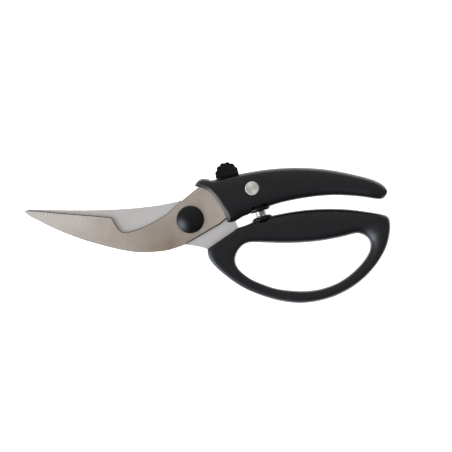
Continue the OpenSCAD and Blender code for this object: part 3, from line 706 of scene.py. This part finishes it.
def in_latch(name, u0, v0, z0, u1, v1, z1):
    return block(name, u0, v0, z0, u1, v1, z1, LATCH_FRAME)


def horn_thickness(x):
    """Thickness of the horn handle, which rounds off towards its tip."""
    return HANDLE_T * math.sqrt(1 - HORN_TIP_SHARE * (max(0, x - HORN_END_X) / HORN_END_LEN) ** 2)


def collar_cutter():
    """Everything in front of the collar: upright to the front blade's face, then leaning back twice."""
    edge = smooth(COLLAR_EDGE, 10)
    crest = smooth(COLLAR_CREST, 10)
    corners = [(26.6, -30), (-30, -30), (-30, 24.2)]
    rings = []
    for z, back in [(-1, 0), (FRONT_Z1, 0)] + [(HANDLE_T + up, share) for up, share in COLLAR_LEANS]:
        outline = np.vstack([edge + back * (crest - edge), corners])
        rings.append(np.column_stack([outline, np.full(len(outline), z)]))
    return skin("collar", rings, closed=False)


def cup_room(flange_r, flange_end, place):
    """The pocket for a spring cup: wide at its mouth, narrower deep in the handle."""
    profile = [(0, -4), (flange_r + CUP_GAP, -4), (flange_r + CUP_GAP, flange_end + CUP_GAP),
               (CUP_STEM_R, flange_end + CUP_GAP), (CUP_STEM_R, CUP_END), (0, CUP_END)]
    return lathe("cup_room", profile, 96, place)


def make_horn_handle():
    pairs = smooth([(*a, *b) for a, b in HORN_PAIRS], 10)
    rings = [ring(p[:2], p[2:], horn_thickness(p[0])) for p in pairs]
    handle = skin("horn_handle_moulded", rings, closed=False)
    sweep = np.vstack([[(0, 0)], arc(CATCH_R + CATCH_GAP, CATCH_ROOM_DEG, CATCH_DEG + 1, 40)])
    sink = HANDLE_T - high("rivet_front")[2]
    plate_z0, plate_z1 = REAR_Z0 - PLATE_ROOM, FRONT_Z0 + PLATE_ROOM
    cut(handle, collar_cutter(),
        prism("catch_room", sweep, -1, FRONT_Z0),
        prism("tang_room", FRONT_TANG + [BONE_NOTCH[0]], FRONT_Z0, FRONT_Z1),
        in_latch("track", BUTTON[0] - BUTTON_R - LATCH_TRAVEL - TRACK_SPARE, TRACK_V, -1,
                 BUTTON[0] + BUTTON_R, 40, HANDLE_T + 1),
        *[in_latch("plate_room", u0 - LATCH_TRAVEL - PLATE_ROOM, v0 - PLATE_ROOM, plate_z0,
                   u1 + PLATE_ROOM, v1 + PLATE_ROOM, plate_z1)
          for u0, v0, u1, v1 in PLATE_PARTS],
        cup_room(*UPPER_FLANGE, SPRING_FRAME @ FLIP),
        cylinder("rivet_room", HEAD_R, HANDLE_T - sink - RIVET_HEAD_T, HANDLE_T + 3, 96,
                 turned(0, (*RIVET, 0))),
        cylinder("rivet_room_back", HEAD_R, -3, sink + RIVET_HEAD_T, 96, turned(0, (*RIVET, 0))),
        solver="MANIFOLD")
    soften(handle, voxel=0.32, passes=4)
    finish_piece(handle, "front_half", "horn_handle", HANDLE_PLASTIC)
    return handle


def share_between(value, start, end):
    """0 at start, 1 at end and in between, never beyond."""
    return min(1, max(0, (value - start) / (end - start)))


def loop_thickness(slimness):
    return HANDLE_T + (SLIM_BAR_T - HANDLE_T) * max(0, slimness)


def corner_chamfer(rows):
    """A flat chamfer along the loop's outer edge, on its front face, for these rows of sections."""
    width, spare, drop = 2.5, 2, math.tan(math.radians(25))
    rings = []
    for r in rows:
        outer = r[:2]
        inwards = (r[2:4] - outer) / np.linalg.norm(r[2:4] - outer)
        inner_edge, outer_edge = outer + width * inwards, outer - spare * inwards
        top = MID_Z + loop_thickness(r[4]) / 2
        rings.append([(*inner_edge, top), (*inner_edge, top + 3), (*outer_edge, top + 3),
                      (*outer_edge, top - (width + spare) * drop)])
    return skin("chamfer", rings, closed=False)


def make_loop_handle():
    steps = 8
    rows = smooth([(*a, *b, c) for a, b, c in LOOP_SECTIONS], steps, closed=True)
    rings = []
    for r in rows:
        squareness = SQUARENESS + LOOP_CORNER_SQUARENESS * share_between(r[0], 60, 25)
        lean = LOOP_END_LEAN * share_between(r[0], 105, 130)
        rings.append(ring(r[:2], r[2:4], loop_thickness(r[4]), squareness, lean))
    handle = skin("loop_handle_moulded", rings, closed=True)
    mouth = turned(TANG_MOUTH_DEG, TANG_MOUTH_AT)
    cut(handle,
        block("mouth", -20, 0, -1, 40, 20, HANDLE_T + 1, mouth),
        prism("tang_room", REAR_TANG + [(12, -10)], REAR_Z0, REAR_Z1),
        corner_chamfer(rows[:7 * steps]),
        cup_room(*LOWER_FLANGE, SPRING_FRAME),
        solver="MANIFOLD")
    soften(handle, voxel=0.36, passes=4)
    finish_piece(handle, "rear_half", "loop_handle", HANDLE_PLASTIC)
    return handle


# ---- caps, rivet, button --------------------------------------------------

def rounded_profile(corners, radius, steps=5):
    """A profile whose inner corners are rounded, each within its own two sides."""
    p = np.array(corners, float)
    out = [p[0]]
    for before, corner, after in zip(p, p[1:], p[2:]):
        back, ahead = before - corner, after - corner
        reach = min(radius, np.linalg.norm(back) / 2, np.linalg.norm(ahead) / 2)
        a = corner + back / np.linalg.norm(back) * reach
        b = corner + ahead / np.linalg.norm(ahead) * reach
        for t in np.linspace(0, 1, steps):
            out.append((1 - t) ** 2 * a + 2 * t * (1 - t) * corner + t**2 * b)
    return [tuple(q) for q in out] + [tuple(p[-1])]


def make_front_cap():
    wall_top, top = FRONT_Z1 + CAP_WALL, high("front_cap")[2]
    dome_r = (CAP_R**2 + (top - wall_top) ** 2) / (2 * (top - wall_top))
    edge = math.asin(CAP_R / dome_r)
    dome = [(dome_r * math.sin(a), top - dome_r + dome_r * math.cos(a)) for a in np.linspace(edge, 0, 28)]
    outer = rounded_profile([(CAP_R - 1.5, FRONT_Z1), (CAP_R, FRONT_Z1), (CAP_R, wall_top), dome[1]], 0.3)
    room_r, room_t = CAP_ROOM
    inside = [(0, FRONT_Z1 + room_t), (room_r, FRONT_Z1 + room_t), (room_r, FRONT_Z1)]
    cap = lathe("front_cap_dome", outer + dome[2:-1] + [(0, top)] + inside, 128)
    shade(cap, 40)
    finish_piece(cap, "front_half", "front_cap", CAP_PLASTIC)
    return cap


def make_rivet_head():
    top = high("rivet_front")[2]
    r = HEAD_R - 0.02
    face = [(r * k / 12, top - 0.05 * math.sin(math.pi * k / 12)) for k in range(10, 0, -1)]
    under = top - RIVET_HEAD_T
    rim = rounded_profile([(RIVET_STEM_R, under), (r, under), (r, top), face[0]], 0.3)
    stem = [(0, RIVET_STEM_Z), (RIVET_STEM_R, RIVET_STEM_Z)]
    head = lathe("rivet_front_turned", stem + rim + face[1:] + [(0, top)], 96, turned(0, (*RIVET, 0)))
    shade(head, 40)
    finish_piece(head, "front_half", "rivet_front", RIVET_STEEL)
    return head


def button_edge(degrees):
    """Radius of the scalloped button at an angle from its top."""
    return BUTTON_R - SCALLOP_T * (1 - math.sqrt(abs(math.sin(math.radians(6 * degrees)))))


def make_button():
    u, v = BUTTON
    lobes_v = TRACK_V + BUTTON_LIFT
    outline = [(u - BUTTON_FOOT, lobes_v), (u + BUTTON_FOOT, lobes_v), (u + BUTTON_FOOT, v)]
    for a in np.linspace(4, 176, 240):
        r = button_edge(a - 90)
        outline.append((u + r * math.cos(math.radians(a)), v + r * math.sin(math.radians(a))))
    outline.append((u - BUTTON_FOOT, v))
    button = prism("latch_button_moulded", outline, MID_Z - BUTTON_T / 2, MID_Z + BUTTON_T / 2,
                   LATCH_FRAME)
    foot = in_latch("foot", u - BUTTON_FOOT + FOOT_INSET, TRACK_V + FOOT_GAP, MID_Z - FOOT_BACK,
                    u + BUTTON_FOOT - FOOT_INSET, v, MID_Z + FOOT_FRONT)
    join = button.modifiers.new("join", "BOOLEAN")
    join.operation = "UNION"
    join.solver = "MANIFOLD"
    join.object = foot
    apply_modifiers(button)
    bpy.data.objects.remove(foot)
    soften(button, voxel=0.16, passes=4)
    finish_piece(button, "latch", "latch_button", BUTTON_PLASTIC)
    return button


# ---- spring and cups ------------------------------------------------------

def make_cup(name, cad_node, body, mouth, place):
    """A cup with a flared flange. The mouth is its profile from the bore's edge out to the flange."""
    bore = SPRING_R + WIRE_D / 2 + CUP_BORE_GAP
    flange_r, flange_end = mouth[-1]
    profile = [(bore, SEAT_W), (bore, mouth[0][1])] + mouth + [
        (CUP_STEM_R - 0.02, flange_end + CUP_SLOPE), (CUP_STEM_R - 0.02, CUP_END), (0, CUP_END)]
    cup = lathe(name, rounded_profile(profile, 0.5) + [(0, SEAT_W)], 96, place)
    shade(cup, 40)
    finish_piece(cup, body, cad_node, CAP_PLASTIC)
    return cup


def make_spring():
    """The coil, with its ends seated in the two cups."""
    length = 2 * SEAT_W - WIRE_D - SEAT_GAP
    steps, sides = 28 * TURNS, 10
    t = np.arange(steps + 1) / steps
    a = 2 * np.pi * TURNS * t
    out = np.column_stack([np.cos(a), np.sin(a), 0 * a])
    line = out * SPRING_R
    line[:, 2] = length * (t - 0.5)
    rings = []
    for c, o in zip(line, out):
        b = 2 * np.pi * np.arange(sides) / sides
        rings.append(c + WIRE_D / 2 * (np.cos(b)[:, None] * o + np.sin(b)[:, None] * np.array([0, 0, 1])))
    spring = skin("opening_spring_wire", rings, closed=False)
    scaled = SPRING_FRAME.copy()
    scaled.translation *= MM
    spring.data.transform(scaled)
    spring.data.shade_smooth()
    spring.data.materials.append(SPRING_STEEL)
    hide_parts("opening_spring")
    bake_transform(spring)
    return spring


make_front_blade()
make_rear_blade()
make_horn_handle()
make_loop_handle()
make_front_cap()
make_rivet_head()
make_button()
make_cup("upper_cup_moulded", "upper_cup", "front_half", UPPER_MOUTH, SPRING_FRAME @ FLIP)
make_cup("lower_cup_moulded", "lower_cup", "rear_half", LOWER_MOUTH, SPRING_FRAME)
make_spring()

KEPT = {
    "rivet_back": RIVET_STEEL, "pivot_bolt": FASTENER_STEEL, "pivot_bush": BUSH_BRASS,
    "thrust_washer": FASTENER_STEEL, "disc_spring": SPRING_STEEL, "pivot_nut": FASTENER_STEEL,
    "rear_cap": CAP_PLASTIC, "stop_pin": FASTENER_STEEL, "latch_plate": FASTENER_STEEL,
    "latch_pin": FASTENER_STEEL, "latch_spring": SPRING_STEEL}
for cad_node, look in KEPT.items():
    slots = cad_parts[cad_node].material_slots
    for k in range(len(slots)):
        slots[k].material = look


# ---- stage ----------------------------------------------------------------

VIEW_W = 308.7                                 # width of the picture at the shears' height
VIEW_AT = (24.4, -4.4)
CAMERA_H = 3000
SENSOR = 36
FLOOR_HALF = 2500


def make_floor():
    """White paper lit from below too, as on a light table."""
    made, tree, surface = material("floor_paper", Roughness=0.9, Emission_Color=colour(1, 1, 1),
                                   Emission_Strength=0.75)
    tree.links.new(mixed(tree, noise(tree, place_mm(tree), 0.02, 2.0), colour(0.86, 0.86, 0.86),
                         colour(0.90, 0.90, 0.90)), surface.inputs["Base Color"])
    corners = [(x * FLOOR_HALF, y * FLOOR_HALF, 0) for x, y in ((-1, -1), (1, -1), (1, 1), (-1, 1))]
    floor = mesh_object("floor", corners, [(0, 1, 2, 3)])
    floor.location.z = -0.02 * MM
    floor.data.materials.append(made)


def make_light(name, direction, distance, width, height, power):
    """A softbox that looks at the middle of the shears from a direction."""
    data = bpy.data.lights.new(name, "AREA")
    data.shape = "RECTANGLE"
    data.size, data.size_y = width, height
    data.energy = power
    lamp = bpy.data.objects.new(name, data)
    away = Vector(direction).normalized()
    lamp.location = Vector((VIEW_AT[0] * MM, VIEW_AT[1] * MM, 0)) + away * distance
    lamp.rotation_mode = "QUATERNION"
    lamp.rotation_quaternion = away.to_track_quat("Z", "Y")
    lamp.visible_camera = False
    lamp.visible_glossy = False
    bpy.context.scene.collection.objects.link(lamp)


def make_world():
    """Soft surroundings, lighter towards the thumb's side, with a broad cool glow on the left."""
    world = bpy.data.worlds.new("studio")
    bpy.context.scene.world = world
    world.use_nodes = True
    tree = world.node_tree
    towards = node(tree, "ShaderNodeTexCoord").outputs["Generated"]
    side = node(tree, "ShaderNodeSeparateXYZ", {0: towards}).outputs["Y"]
    base = math_node(tree, "ADD", math_node(tree, "MULTIPLY", side, 0.3), 0.36)
    glow_at = Vector((-1, -0.6, 0.6)).normalized()
    near = node(tree, "ShaderNodeVectorMath", {0: towards, 1: glow_at}, operation="DOT_PRODUCT")
    glow = math_node(tree, "POWER", math_node(tree, "MAXIMUM", near.outputs["Value"], 0.0), 10.0)
    cool = node(tree, "ShaderNodeVectorMath", {0: (7.2, 7.8, 9.2), "Scale": glow}, operation="SCALE")
    total = node(tree, "ShaderNodeVectorMath", {0: cool.outputs[0], 1: base}, operation="ADD")
    tree.links.new(total.outputs[0], tree.nodes["Background"].inputs["Color"])


def make_camera():
    data = bpy.data.cameras.new("camera")
    data.sensor_width = SENSOR
    data.lens = SENSOR * CAMERA_H / VIEW_W
    data.clip_end = 100
    camera = bpy.data.objects.new("camera", data)
    camera.location = (VIEW_AT[0] * MM, VIEW_AT[1] * MM, (CAMERA_H + MID_Z) * MM)
    bpy.context.scene.collection.objects.link(camera)
    bpy.context.scene.camera = camera


make_camera()
make_world()
make_floor()
make_light("floor_light", (0, 0, 1), 2, 5, 5, 120)
bpy.context.scene.view_settings.view_transform = "Standard"
